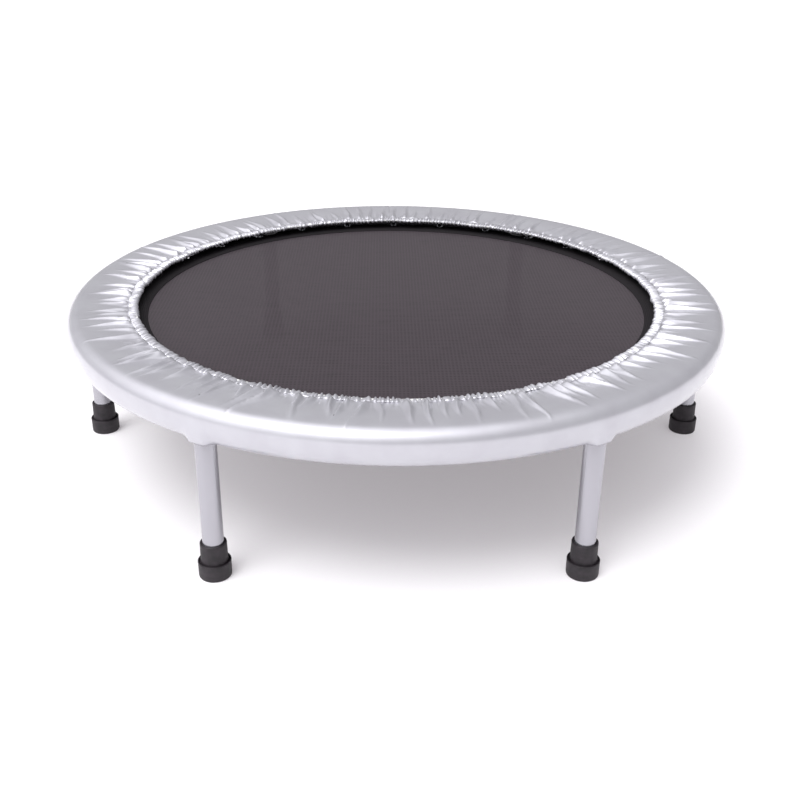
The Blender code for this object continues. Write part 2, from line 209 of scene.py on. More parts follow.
# Zinc plate over steel, dulled by age and passivation, clouded at the scale of a
# fingertip, with a fine drawn grain.
zinc_plate, tree, shader = start_material("dull_zinc_plate", "74767A", 0.42, 1.0)
place = add_node(tree, "TexCoord").outputs["Object"]
cloud = add_node(tree, "TexNoise", {"Scale": per_metre(ZINC_CLOUD_MM), "Detail": 3.0}, {"Vector": place})
tint = add_node(tree, "ValToRGB", None, {"Fac": cloud.outputs["Fac"]})
tint.color_ramp.elements[0].color = linear_colour("55575B")
tint.color_ramp.elements[1].color = linear_colour("7F8184")
tree.links.new(tint.outputs["Color"], shader.inputs["Base Color"])
rough = add_node(
    tree, "MapRange", {"To Min": 0.30, "To Max": 0.46}, {"Value": cloud.outputs["Fac"]}
)
tree.links.new(rough.outputs["Result"], shader.inputs["Roughness"])

for name in ("joint_sleeve_1", "joint_sleeve_2", *[f"joint_bolt_{i}" for i in range(1, 5)]):
    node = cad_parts[name]
    node.data.materials.clear()
    node.data.materials.append(zinc_plate)


# ---------------------------------------------------------------- leg sockets
# Under the ring, six turned steel bosses are welded on, each with a threaded stud for its
# leg. They are painted with the ring; a weld bead fills the corner where boss meets tube.

LEG_COUNT = 6
BEAD_RADIUS = 0.0012
BEAD_STEPS = 56
BEAD_RIPPLES = 22
BEAD_RIPPLE_DEPTH = 0.12
BOSS_RADIUS = 0.0115
STUD_RADIUS = 0.0050
STUD_LENGTH = 0.024
THREAD_PITCH = 0.0015
THREAD_HEIGHT = 0.00022
THREAD_HALF_WIDTH = 0.0005
THREAD_STEPS = 18
PLAIN_STUD_END = 0.0015

leg_places = [
    (FRAME_RADIUS * math.cos(i * math.tau / LEG_COUNT), FRAME_RADIUS * math.sin(i * math.tau / LEG_COUNT))
    for i in range(LEG_COUNT)
]
for number, (x, y) in enumerate(leg_places, 1):
    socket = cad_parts[f"leg_socket_{number}"]
    socket.data.materials.clear()
    socket.data.materials.append(powder_coat)

    # The bead is a small ring round the boss, lifted at each point to lie on the tube.
    bm = bmesh.new()
    made = bmesh.ops.create_circle(bm, segments=8, radius=BEAD_RADIUS)
    turn = Matrix.Rotation(math.pi / 2, 3, "X")
    bmesh.ops.rotate(bm, verts=made["verts"], cent=(0, 0, 0), matrix=turn)
    bmesh.ops.translate(bm, verts=made["verts"], vec=(BOSS_RADIUS, 0, 0))
    bmesh.ops.spin(
        bm,
        geom=bm.verts[:] + bm.edges[:],
        cent=(0, 0, 0),
        axis=(0, 0, 1),
        angle=math.tau,
        steps=BEAD_STEPS,
        use_merge=True,
    )
    bmesh.ops.rotate(
        bm,
        verts=bm.verts,
        cent=(0, 0, 0),
        matrix=Matrix.Rotation((number - 1) * math.tau / LEG_COUNT, 3, "Z"),
    )
    outward = Vector((x, y, 0)).normalized()
    for vert in bm.verts:
        ripple = 1 + BEAD_RIPPLE_DEPTH * math.sin(BEAD_RIPPLES * math.atan2(vert.co.y, vert.co.x))
        across = vert.co.dot(outward)
        lift = TUBE_RADIUS - math.sqrt(max(TUBE_RADIUS**2 - across**2, 0))
        vert.co = Vector((vert.co.x, vert.co.y, FRAME_Z - TUBE_RADIUS + lift + vert.co.z * ripple))
    bmesh.ops.translate(bm, verts=bm.verts, vec=(x, y, 0))
    bead = new_piece(f"weld_bead_{number}", bm, powder_coat)
    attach(bead, "frame")

    # The stud's thread: a low ridge wound down it, clear of the plug that screws on.
    stud_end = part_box(f"leg_socket_{number}")[0].z
    turns = int((STUD_LENGTH - 2 * PLAIN_STUD_END) / THREAD_PITCH)
    bm = bmesh.new()
    ridge = [(-0.0001, -THREAD_HALF_WIDTH), (THREAD_HEIGHT, 0.0), (-0.0001, THREAD_HALF_WIDTH)]
    verts = [bm.verts.new((STUD_RADIUS + r, 0, stud_end + PLAIN_STUD_END + z)) for r, z in ridge]
    bmesh.ops.spin(
        bm,
        geom=verts + [bm.edges.new((verts[i - 1], verts[i])) for i in range(3)],
        cent=(0, 0, 0),
        axis=(0, 0, 1),
        dvec=(0, 0, THREAD_PITCH / THREAD_STEPS),
        angle=math.tau * turns,
        steps=turns * THREAD_STEPS,
    )
    bmesh.ops.holes_fill(bm, edges=[edge for edge in bm.edges if edge.is_boundary], sides=3)
    bmesh.ops.translate(bm, verts=bm.verts, vec=(x, y, 0))
    thread = new_piece(f"stud_thread_{number}", bm, zinc_plate, 30)
    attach(thread, "frame")


# ---------------------------------------------------------------- mat
# The bed is a disc of black polypropylene woven from flat tapes, cut 740 mm across and pulled
# flat by the springs. Its raw edge is bound in webbing, which is the next piece.

MAT_DIAMETER = 0.740
MAT_THREAD_MM = 2.4
MAT_STREAK_MM = 4.0
MAT_RINGS = 24
MAT_STEPS = 180
MAT_EDGE_ROUND = 0.0004

# Woven polypropylene tape: matt and nearly black, with a dull plastic sheen on each tape and
# open corners between tapes, so that light floor and dark legs show faintly through it. The
# tapes are drawn 2.4 mm wide, about twice the real width, because finer ones would not show.
mat_weave, tree, shader = start_material("woven_polypropylene", "39353A", 0.62)


def wave_scale(millimetres):
    """The scale of a wave texture whose light and dark bands are each that wide."""
    return per_metre(millimetres) / 20 * math.tau / 2


place = add_node(tree, "TexCoord").outputs["Object"]
tapes = {"wave_type": "BANDS", "Scale": wave_scale(MAT_THREAD_MM), "Distortion": 0.6, "Detail": 1.0,
         "Detail Scale": 2.0}
warp = add_node(tree, "TexWave", {**tapes, "bands_direction": "X"}, {"Vector": place})
weft = add_node(tree, "TexWave", {**tapes, "bands_direction": "Y"}, {"Vector": place})
threads = add_node(
    tree, "Math", {"operation": "MAXIMUM"}, {0: warp.outputs["Fac"], 1: weft.outputs["Fac"]}
)
stretched = add_node(tree, "Mapping", {"Scale": (0.12, 1.0, 1.0)}, {"Vector": place})
streaks = add_node(
    tree,
    "TexNoise",
    {"Scale": per_metre(MAT_STREAK_MM), "Detail": 4.0, "Roughness": 0.65},
    {"Vector": stretched.outputs["Vector"]},
)
shade = add_node(
    tree, "Math", {"operation": "MULTIPLY_ADD", 1: 0.45, 2: 0.0}, {0: threads.outputs["Value"]}
)
shade = add_node(
    tree,
    "Math",
    {"operation": "MULTIPLY_ADD", 1: 0.95},
    {0: streaks.outputs["Fac"], 2: shade.outputs["Value"]},
)
tint = add_node(tree, "ValToRGB", None, {"Fac": shade.outputs["Value"]})
tint.color_ramp.elements[0].position = 0.30
tint.color_ramp.elements[0].color = linear_colour("0A070A")
tint.color_ramp.elements[1].position = 0.85
tint.color_ramp.elements[1].color = linear_colour("352B32")
tree.links.new(tint.outputs["Color"], shader.inputs["Base Color"])
open_corner = add_node(
    tree, "MapRange", {"From Min": 0.2, "From Max": 0.8, "To Min": 0.83, "To Max": 0.94},
    {"Value": threads.outputs["Value"]},
)
tree.links.new(open_corner.outputs["Result"], shader.inputs["Alpha"])
bump = add_node(
    tree, "Bump", {"Strength": 0.55, "Distance": 0.0003}, {"Height": threads.outputs["Value"]}
)
tree.links.new(bump.outputs["Normal"], shader.inputs["Normal"])
shader.inputs["Sheen Weight"].default_value = 0.06
shader.inputs["Sheen Roughness"].default_value = 0.5

mat_low, mat_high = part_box("mat")
MAT_TOP = mat_high.z


def spin_outline(bm, outline, steps, closed=True):
    """Turns (radius, height) points a full circle about the upright axis."""
    verts = [bm.verts.new((r, 0, z)) for r, z in outline]
    pairs = list(zip(verts, verts[1:]))
    if closed:
        pairs.append((verts[-1], verts[0]))
    bmesh.ops.spin(
        bm,
        geom=verts + [bm.edges.new(pair) for pair in pairs],
        cent=(0, 0, 0),
        axis=(0, 0, 1),
        angle=math.tau,
        steps=steps,
        use_merge=True,
    )


mat_radius = MAT_DIAMETER / 2
mat_outline = [(mat_radius * i / MAT_RINGS, mat_low.z) for i in range(MAT_RINGS)]
mat_outline += [
    (mat_radius - MAT_EDGE_ROUND, mat_low.z),
    (mat_radius, mat_low.z + MAT_EDGE_ROUND),
    (mat_radius, MAT_TOP - MAT_EDGE_ROUND),
    (mat_radius - MAT_EDGE_ROUND, MAT_TOP),
]
mat_outline += [(mat_radius * i / MAT_RINGS, MAT_TOP) for i in reversed(range(MAT_RINGS))]
bm = bmesh.new()
spin_outline(bm, mat_outline, MAT_STEPS, closed=False)
mat = new_piece("bed_mat", bm, mat_weave, 60)
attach(mat, "bed")
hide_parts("mat")


# ---------------------------------------------------------------- border and wire rings
# Black polypropylene webbing is folded over the mat's edge and sewn down on both faces. It is
# cut away round each hook, where a triangle of zinc-plated wire is caught in the fold.

BORDER_WIDTH = 0.030
BORDER_OVERHANG = 0.010
BORDER_LAP = 0.0008
BORDER_DEPTH = 0.0020
BORDER_ROUND = 0.0004
SCALLOP_REACH = 0.0062
HOOK_NOTCH_WIDTH = 0.0060
BORDER_STEPS = 720
BORDER_RIB_MM = 1.4
RING_REACH = 0.0085
RING_WIDTH = 0.028
RING_WIRE_RADIUS = 0.0009
RING_CORNER = 0.003

# Polypropylene webbing: heavier tape than the mat's, woven in ribs across its length, dead
# black because it lets nothing through.
webbing, tree, shader = start_material("polypropylene_webbing", "141114", 0.82)
shader.inputs["Specular IOR Level"].default_value = 0.25
place = add_node(tree, "TexCoord").outputs["Object"]
rib = add_node(
    tree,
    "TexWave",
    {"wave_type": "RINGS", "rings_direction": "Z", "Scale": wave_scale(BORDER_RIB_MM)},
    {"Vector": place},
)
tint = add_node(tree, "ValToRGB", None, {"Fac": rib.outputs["Fac"]})
tint.color_ramp.elements[0].color = linear_colour("0C0A0C")
tint.color_ramp.elements[1].color = linear_colour("1D191D")
tree.links.new(tint.outputs["Color"], shader.inputs["Base Color"])
bump = add_node(tree, "Bump", {"Strength": 0.5, "Distance": 0.0004}, {"Height": rib.outputs["Fac"]})
tree.links.new(bump.outputs["Normal"], shader.inputs["Normal"])

border_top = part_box("mat_border")[1].z
border_radius = mat_radius + BORDER_OVERHANG
border_low_z = border_top - BORDER_DEPTH
bm = bmesh.new()
soft = BORDER_ROUND
border_inner = border_radius - BORDER_WIDTH
lap_top = MAT_TOP + BORDER_LAP
spin_outline(
    bm,
    [
        (border_inner, border_top - 0.0002),
        (border_inner, border_low_z + soft),
        (border_inner + soft, border_low_z),
        (border_radius - soft, border_low_z),
        (border_radius, border_low_z + soft),
        (border_radius, lap_top - soft),
        (border_radius - soft, lap_top),
        (mat_radius, lap_top),
        (border_inner + soft, lap_top),
        (border_inner, lap_top - soft),
        (border_inner, MAT_TOP + 0.0001),
        (mat_radius + 0.0002, MAT_TOP + 0.0001),
        (mat_radius + 0.0002, border_top - 0.0002),
    ],
    BORDER_STEPS,
)
for vert in bm.verts:
    radius = math.hypot(vert.co.x, vert.co.y)
    if radius > border_radius - 0.001:
        around = math.atan2(vert.co.y, vert.co.x) % (math.tau / SPRING_COUNT) - math.pi / SPRING_COUNT
        from_hook = min(abs(around) * radius / HOOK_NOTCH_WIDTH, 1)
        grown = (radius + SCALLOP_REACH * from_hook**3) / radius
        vert.co = Vector((vert.co.x * grown, vert.co.y * grown, vert.co.z))
border = new_piece("webbing_border", bm, webbing, 50)
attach(border, "bed")
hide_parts("mat_border")


def wire_along(name, points, radius, material, sides=8, cyclic=False):
    """Round wire of that radius through the points, as a finished mesh object."""
    curve = bpy.data.curves.new(name, "CURVE")
    curve.dimensions = "3D"
    curve.bevel_depth = radius
    curve.bevel_resolution = max(sides // 4 - 1, 0)
    curve.use_fill_caps = not cyclic
    spline = curve.splines.new("POLY")
    spline.points.add(len(points) - 1)
    for point, at in zip(spline.points, points):
        point.co = (*at, 1)
    spline.use_cyclic_u = cyclic
    bent = bpy.data.objects.new(name + "_line", curve)
    bpy.context.scene.collection.objects.link(bent)
    graph = bpy.context.evaluated_depsgraph_get()
    mesh = bpy.data.meshes.new_from_object(bent.evaluated_get(graph))
    bpy.data.objects.remove(bent)
    bm = bmesh.new()
    bm.from_mesh(mesh)
    bpy.data.meshes.remove(mesh)
    return new_piece(name, bm, material, 60)


def rounded_corners(corners, radius, steps=5):
    """The closed outline through the corners with each one rounded."""
    points = []
    for i, corner in enumerate(corners):
        before = (corners[i - 1] - corner).normalized()
        after = (corners[(i + 1) % len(corners)] - corner).normalized()
        for k in range(steps + 1):
            t = k / steps
            points.append(corner + before * radius * (1 - t) ** 2 + after * radius * t**2)
    return points


ring_z = border_top - RING_WIRE_RADIUS - 0.0001
ring_root = border_radius - 0.0045
for number, angle in enumerate(spring_angles, 1):
    turn = Matrix.Rotation(angle, 3, "Z")
    corners = [
        turn @ Vector((border_radius + RING_REACH - RING_WIRE_RADIUS, 0, ring_z)),
        turn @ Vector((ring_root, RING_WIDTH / 2 - 0.001, ring_z - 0.0006)),
        turn @ Vector((ring_root, -RING_WIDTH / 2 + 0.001, ring_z - 0.0006)),
    ]
    outline = rounded_corners(corners, RING_CORNER)
    ring = wire_along(f"wire_ring_{number:02d}", outline, RING_WIRE_RADIUS, zinc_plate, cyclic=True)
    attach(ring, "bed")


# ---------------------------------------------------------------- springs
# Thirty close-wound extension springs of zinc-plated wire pull the bed out to the ring. Each
# has a hook bent down through a wire ring, and another through a hole in the tube.

SPRING_WIRE = 0.0022
COIL_DIAMETER = 0.0100
HOOK_LENGTH = 0.0075
HOOK_DROP = 0.0040
POINTS_PER_TURN = 14

inner_hook = Vector((mat_radius + 0.0140, 0, MAT_TOP - 0.0001))
outer_hook = Vector((FRAME_RADIUS - TUBE_RADIUS, 0, FRAME_Z))
run = (outer_hook - inner_hook).normalized()
across = Vector((0, 1, 0))
upward = run.cross(across) * -1
coil_start = inner_hook + run * HOOK_LENGTH
coil_length = (outer_hook - inner_hook).length - 2 * HOOK_LENGTH
turns = round(coil_length / (SPRING_WIRE * 1.02))
coil_radius = (COIL_DIAMETER - SPRING_WIRE) / 2
steps = turns * POINTS_PER_TURN
coil = []
for i in range(steps + 1):
    # The first and last half turns swirl in to the wire's own line.
    swirl = min(1, 2 * i / POINTS_PER_TURN, 2 * (steps - i) / POINTS_PER_TURN)
    angle = math.tau * i / POINTS_PER_TURN
    side = across * math.cos(angle) + upward * math.sin(angle)
    coil.append(coil_start + run * (coil_length * i / steps) + side * (coil_radius * swirl))


def hook_bend(corner, along, drop):
    """The end of the wire: it comes in along its line, rounds a corner and goes down."""
    size = SPRING_WIRE
    points = []
    for k in range(6):
        turn = k / 5 * math.pi / 2
        below = Vector((0, 0, size * (1 - math.cos(turn))))
        points.append(corner + along * size * (math.sin(turn) - 1) - below)
    points.append(corner - Vector((0, 0, drop)))
    return points


inner_end = list(reversed(hook_bend(inner_hook, -run, HOOK_DROP)))
outer_end = hook_bend(outer_hook + run * (TUBE_WALL + HOOK_HOLE_RADIUS), run, HOOK_DROP)
spring_line = inner_end + coil + outer_end
for number, angle in enumerate(spring_angles, 1):
    turn = Matrix.Rotation(angle, 3, "Z")
    spring = wire_along(
        f"spring_wire_{number:02d}", [turn @ point for point in spring_line], SPRING_WIRE / 2, zinc_plate
    )
    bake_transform(spring)
    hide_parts(f"spring_{number:02d}")


# ---------------------------------------------------------------- hem elastic
# A cord of elastic, covered in white braid, runs in a casing round the cover's hole and
# gathers it to four fifths of its cut length.

BRAID_MM = 1.2

# Braided polyester over rubber: chalky white, with slanting plaits.
braided_elastic, tree, shader = start_material("braided_elastic", "D6D6D4", 0.85)
place = add_node(tree, "TexCoord").outputs["Object"]
plait = add_node(tree, "TexVoronoi", {"Scale": per_metre(BRAID_MM)}, {"Vector": place})
bump = add_node(tree, "Bump", {"Strength": 0.5, "Distance": 0.0003}, {"Height": plait.outputs["Distance"]})
tree.links.new(bump.outputs["Normal"], shader.inputs["Normal"])
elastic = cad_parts["hem_elastic"]
elastic.data.materials.clear()
elastic.data.materials.append(braided_elastic)


# ---------------------------------------------------------------- cover
# A strip of silver vinyl is sewn into a ring, elasticated round its hole and drawn over the
# frame tube. Where the elastic gathers it, the spare length stands up in radial folds that
# fade out towards the tube; round the tube it is tight, and it tucks under between the legs.

HOLE_RADIUS = 0.3625
STITCH_RADIUS = 0.3742
STITCH_Z = 0.2247
COVER_COLUMNS = 1740
COVER_THICKNESS = 0.0008
SHOULDER_STEPS = 6
HEM_LOBE_MM = 6.3
FOLD_SPACING_MM = 21
FOLD_HEIGHT = 0.0074
SHORT_PLEAT_WIDTH = 0.0036
SHORT_PLEAT_HEIGHT = 0.0022
PUCKER_HEIGHT = 0.0013
SLACK_HEIGHT = 0.0007
SKIRT_RIPPLE_HEIGHT = 0.00018
SEAM_DEPTH = 0.0009
SEAM_LAP_HEIGHT = 0.0004
SEAM_ANGLE = math.radians(90.8)
SKIRT_TUCKED = [
    (0.4564, 0.2010), (0.4548, 0.1935), (0.4518, 0.1875), (0.4470, 0.1838),
    (0.4405, 0.1830), (0.4335, 0.1852), (0.4280, 0.1890), (0.4262, 0.1925),
]
SKIRT_AT_LEG = [
    (0.4571, 0.2010), (0.4568, 0.1935), (0.4563, 0.1880), (0.4556, 0.1842),
    (0.4548, 0.1825), (0.4541, 0.1830), (0.4537, 0.1852), (0.4535, 0.1875),
]
LEG_POCKET_WIDTH = 0.014

COVER_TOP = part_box("cover")[1].z
SHOULDER_RADIUS = COVER_TOP - FRAME_Z


def sway(angle, low, high, seed):
    """A smooth wandering value round the ring, about -1 to 1, from waves low to high per turn."""
    draws = random.Random(seed)
    total = np.zeros_like(angle)
    for _ in range(14):
        total += np.sin(draws.randint(low, high) * angle + draws.uniform(0, math.tau))
    return total / 14**0.5


def lobes(angle):
    """Gathers along the elastic: pleats of uneven width that lean to one side or the other."""
    count = round(math.tau * HOLE_RADIUS * 1000 / HEM_LOBE_MM)
    phase = count * angle / math.tau + 0.42 * sway(angle, 18, 70, 3) + 0.16 * sway(angle, 90, 150, 4)
    lean = 1.0 + 0.45 * np.clip(sway(angle, 40, 120, 5), -1.2, 1.8)
    return np.sin(math.pi * (phase % 1.0) ** lean) ** 1.1


top_outline = [(STITCH_RADIUS, STITCH_Z), (STITCH_RADIUS + 0.0015, STITCH_Z + 0.0004)]
top_steps = [0.0035] * 5 + [0.0048] * 4 + [0.0070] * 3
radius = top_outline[-1][0]
for step in top_steps:
    radius += step * (FRAME_RADIUS - top_outline[1][0]) / sum(top_steps)
    share = (radius - STITCH_RADIUS) / (FRAME_RADIUS - STITCH_RADIUS)
    rise = 1 - max(1 - share, 0) ** 2.2
    top_outline.append((radius, STITCH_Z + 0.0004 + (COVER_TOP - STITCH_Z - 0.0004) * rise))
for i in range(1, SHOULDER_STEPS + 1):
    turn = math.pi / 2 * i / SHOULDER_STEPS
    top_outline.append(
        (FRAME_RADIUS + SHOULDER_RADIUS * math.sin(turn), FRAME_Z + SHOULDER_RADIUS * math.cos(turn))
    )
cover_outline = np.array(top_outline + SKIRT_TUCKED)
leg_outline = np.array(top_outline + SKIRT_AT_LEG)
along_outline = np.concatenate([[0], np.cumsum(np.hypot(*np.diff(cover_outline, axis=0).T))])


def set_points(mesh, points):
    mesh.vertices.foreach_set("co", points.astype(np.float32).ravel())
    mesh.update()


def get_points(mesh):
    points = np.empty(len(mesh.vertices) * 3)
    mesh.vertices.foreach_get("co", points)
    return points.reshape(-1, 3)


def flat_strip(columns, rows):
    """A strip to roll into a ring: X is the share of the turn, Y the row across it."""
    bm = bmesh.new()
    bmesh.ops.create_grid(bm, x_segments=columns, y_segments=rows - 1, size=0.5)
    bmesh.ops.translate(bm, verts=bm.verts, vec=(0.5, 0.5, 0))
    bmesh.ops.scale(bm, verts=bm.verts, vec=(1, rows - 1, 1))
    mesh = bpy.data.meshes.new("strip")
    bm.to_mesh(mesh)
    bm.free()
    points = get_points(mesh)
    return mesh, points[:, 0] * math.tau, np.rint(points[:, 1]).astype(int)


def rolled_piece(name, mesh, points, material):
    """The strip with its points in place and its two ends sewn together."""
    set_points(mesh, points)
    bm = bmesh.new()
    bm.from_mesh(mesh)
    bpy.data.meshes.remove(mesh)
    bmesh.ops.remove_doubles(bm, verts=[vert for vert in bm.verts if vert.is_boundary], dist=1e-5)
    return new_piece(name, bm, material, 180)


def cover_shape(angle, row):
    """Where the vinyl lies at an angle round the ring and a row across it, folds included."""
    across = along_outline[row]
    # The skirt passes from tucked under to straight down round each leg.
    from_leg = (angle + math.pi / LEG_COUNT) % (math.tau / LEG_COUNT) - math.pi / LEG_COUNT
    near = np.clip(1.6 - np.abs(from_leg) * FRAME_RADIUS / LEG_POCKET_WIDTH, 0, 1)
    near = near * near * (3 - 2 * near)
    base = cover_outline[row] * (1 - near[:, None]) + leg_outline[row] * near[:, None]
    slope = np.gradient(cover_outline, axis=0)
    slope /= np.hypot(*slope.T)[:, None]
    normal = np.stack([-slope[row, 1], slope[row, 0]], axis=1)

    flat_end = along_outline[len(top_outline) - SHOULDER_STEPS]
    share = across / flat_end
    height = np.zeros_like(angle)
    # Main folds: pleats that touch at the stitches and narrow outwards to a point.
    draws = random.Random(11)
    spots = int(math.tau * 0.39 * 1000 / FOLD_SPACING_MM)
    for spot in range(spots):
        middle = (spot + draws.uniform(-0.34, 0.34)) * math.tau / spots
        reach = draws.uniform(0.55, 1.12)
        front = 0.5 - 0.5 * math.sin(middle)
        tall = FOLD_HEIGHT * draws.uniform(0.60, 1.10) * (0.6 + 0.4 * reach) * (0.75 + 0.5 * front)
        wide = FOLD_SPACING_MM / 1000 * draws.uniform(0.30, 0.52)
        lean = draws.uniform(-0.35, 0.35)
        slant = draws.gauss(0, 0.006 + 0.008 * front)
        progress = np.clip(share / reach, 0, 1)
        away = (angle - middle + math.pi) % math.tau - math.pi
        sideways = away * base[:, 0] - slant * share - 0.0010 * np.sin(9 * share + spot)
        here = wide * (1 - 0.80 * progress ** 0.8) * (1 + lean * np.sign(sideways))
        ridge = np.clip(1 - np.abs(sideways / here), 0, 1) ** 1.2
        height = np.maximum(height, tall * (1 - progress) ** 0.75 * ridge)
    # Short pleats between them, which die out before the middle of the strip.
    for spot in range(spots * 2):
        middle = (spot + draws.uniform(-0.40, 0.40)) * math.tau / spots / 2
        reach = draws.uniform(0.18, 0.50)
        wide = SHORT_PLEAT_WIDTH * draws.uniform(0.7, 1.4)
        progress = np.clip(share / reach, 0, 1)
        away = (angle - middle + math.pi) % math.tau - math.pi
        sideways = away * base[:, 0] - draws.gauss(0, 0.004) * share
        ridge = np.clip(1 - np.abs(sideways / (wide * (1 - 0.6 * progress))), 0, 1)
        height += SHORT_PLEAT_HEIGHT * draws.uniform(0.5, 1.1) * (1 - progress) * ridge
    height -= 0.32 * FOLD_HEIGHT * np.clip(1 - share, 0, 1)
    height *= np.clip(share * 14, 0, 1)
    # Fine puckers next to the stitches, which match the gathers of the casing.
    pucker = (lobes(angle) - 0.62) * np.exp(-((share / 0.16) ** 1.2)) * np.clip(0.45 + share * 18, 0, 1)
    half = np.sin(70 * angle + 1.5 * sway(angle, 9, 40, 8)) * np.exp(-((share - 0.2) / 0.16) ** 2)
    height += PUCKER_HEIGHT * pucker * (1 + 0.35 * sway(angle, 5, 30, 6)) + 0.0006 * half
    # Broad slackness between the hem and the tube, and small tucks along the skirt.
    height += SLACK_HEIGHT * sway(angle, 14, 40, 7) * np.clip(1 - share, 0, 1) * np.clip(share * 6, 0, 1)
    below = np.clip((across - along_outline[len(top_outline)]) / 0.03, 0, 1)
    height += SKIRT_RIPPLE_HEIGHT * below * sway(angle + 0.4 * below, 50, 150, 9) * (1 - near)
    # The strip's ends meet in a lapped seam.
    beside = ((angle - SEAM_ANGLE + math.pi) % math.tau - math.pi) * base[:, 0]
    groove = -SEAM_DEPTH * np.exp(-((beside / 0.0016) ** 2))
    height += groove + SEAM_LAP_HEIGHT * np.exp(-(((beside - 0.005) / 0.004) ** 2))

    radius = base[:, 0] + normal[:, 0] * height
    return np.stack([radius * np.cos(angle), radius * np.sin(angle), base[:, 1] + normal[:, 1] * height], 1)


# PVC-coated knit with aluminium pigment: satin metal to the eye, a little bluer in shade, with
# a fine calendered grain and faint clouding. Its highlights break along every fold.
VINYL_GRAIN_MM = 0.9
VINYL_CLOUD_MM = 35
silver_vinyl, tree, shader = start_material("silver_vinyl", "C0C0C6", 0.33, 0.50)
shader.inputs["Coat Weight"].default_value = 0.90
shader.inputs["Coat Roughness"].default_value = 0.20
place = add_node(tree, "TexCoord").outputs["Object"]
grain = add_node(tree, "TexNoise", {"Scale": per_metre(VINYL_GRAIN_MM), "Detail": 2.0}, {"Vector": place})
cloud = add_node(tree, "TexNoise", {"Scale": per_metre(VINYL_CLOUD_MM), "Detail": 3.0}, {"Vector": place})
tint = add_node(tree, "ValToRGB", None, {"Fac": cloud.outputs["Fac"]})
tint.color_ramp.elements[0].position = 0.3
tint.color_ramp.elements[0].color = linear_colour("BCBBC2")
tint.color_ramp.elements[1].position = 0.7
tint.color_ramp.elements[1].color = linear_colour("C4C4CA")
tree.links.new(tint.outputs["Color"], shader.inputs["Base Color"])
rough = add_node(tree, "MapRange", {"To Min": 0.32, "To Max": 0.41}, {"Value": grain.outputs["Fac"]})
tree.links.new(rough.outputs["Result"], shader.inputs["Roughness"])
bump = add_node(tree, "Bump", {"Strength": 0.10, "Distance": 0.0002}, {"Height": grain.outputs["Fac"]})
tree.links.new(bump.outputs["Normal"], shader.inputs["Normal"])

# The back of the vinyl is a black knit, which keeps the light off the springs.
KNIT_LOOP_MM = 1.0
black_knit, tree, shader = start_material("black_knit_backing", "101011", 0.9)
place = add_node(tree, "TexCoord").outputs["Object"]
loop = add_node(tree, "TexVoronoi", {"Scale": per_metre(KNIT_LOOP_MM)}, {"Vector": place})
tint = add_node(tree, "ValToRGB", None, {"Fac": loop.outputs["Distance"]})
tint.color_ramp.elements[0].color = linear_colour("161617")
tint.color_ramp.elements[1].color = linear_colour("0A0A0B")
tree.links.new(tint.outputs["Color"], shader.inputs["Base Color"])

strip, angle, rows = flat_strip(COVER_COLUMNS, len(cover_outline))
cover = rolled_piece("vinyl_cover", strip, cover_shape(angle, rows), silver_vinyl)
cover.data.materials.append(black_knit)
wall = cover.modifiers.new("thickness", "SOLIDIFY")
wall.thickness = COVER_THICKNESS
wall.offset = -1
wall.material_offset = 1
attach(cover, "frame")
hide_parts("cover")

# The casing: the vinyl's inner edge turned under round the elastic and stitched down.
CASING_COLUMNS = 3480
GATHER_HEIGHT = 0.0030
CREASE_HEIGHT = 0.0007
HEM_SWAY = 0.0006
CASING_OUTLINE = [
    (STITCH_RADIUS + 0.0014, STITCH_Z + 0.0006), (0.3732, 0.2257), (0.3706, 0.2259), (0.3682, 0.2259),
    (0.3658, 0.2256), (0.3638, 0.2248), (0.3625, 0.2232), (0.3629, 0.2214), (0.3645, 0.2205),
    (0.3670, 0.2205), (0.3702, 0.2212), (STITCH_RADIUS + 0.0008, STITCH_Z - 0.0012),
]
casing_outline = np.array(CASING_OUTLINE + CASING_OUTLINE[:1])
strip, angle, rows = flat_strip(CASING_COLUMNS, len(casing_outline))
slope = np.roll(casing_outline[:-1], -1, axis=0) - np.roll(casing_outline[:-1], 1, axis=0)
slope = np.concatenate([slope, slope[:1]])
slope /= np.hypot(*slope.T)[:, None]
normal = np.stack([-slope[:, 1], slope[:, 0]], axis=1)[rows]
if normal[rows == 3][0][1] < 0:
    normal = -normal
free = np.clip((STITCH_RADIUS - casing_outline[:, 0]) / 0.004, 0.45, 1)[rows]
size = GATHER_HEIGHT * (1 + 0.42 * sway(angle, 30, 110, 12))
height = size * (lobes(angle) - 0.66) * free
height += CREASE_HEIGHT * free * sway(angle + 0.002 * (rows % len(CASING_OUTLINE)), 140, 330, 13)
base = casing_outline[rows]
radius = base[:, 0] + normal[:, 0] * height + HEM_SWAY * sway(angle, 20, 60, 14)
level = base[:, 1] + normal[:, 1] * height + HEM_SWAY * sway(angle, 12, 44, 15)
gathered = np.stack([radius * np.cos(angle), radius * np.sin(angle), level], 1)
casing = rolled_piece("gathered_casing", strip, gathered, silver_vinyl)
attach(casing, "frame")


# ---------------------------------------------------------------- legs
# Six straight legs of one-inch steel tube, painted a smooth satin silver. A plug with a
# thread is pressed into the top of each, and screws on to its stud.

PLUG_LENGTH = 0.030
LEG_WALL = 0.0012
LEG_STEPS = 72
BORE_CLEARANCE = 0.0003
PAINT_DRAW_MM = 2.5

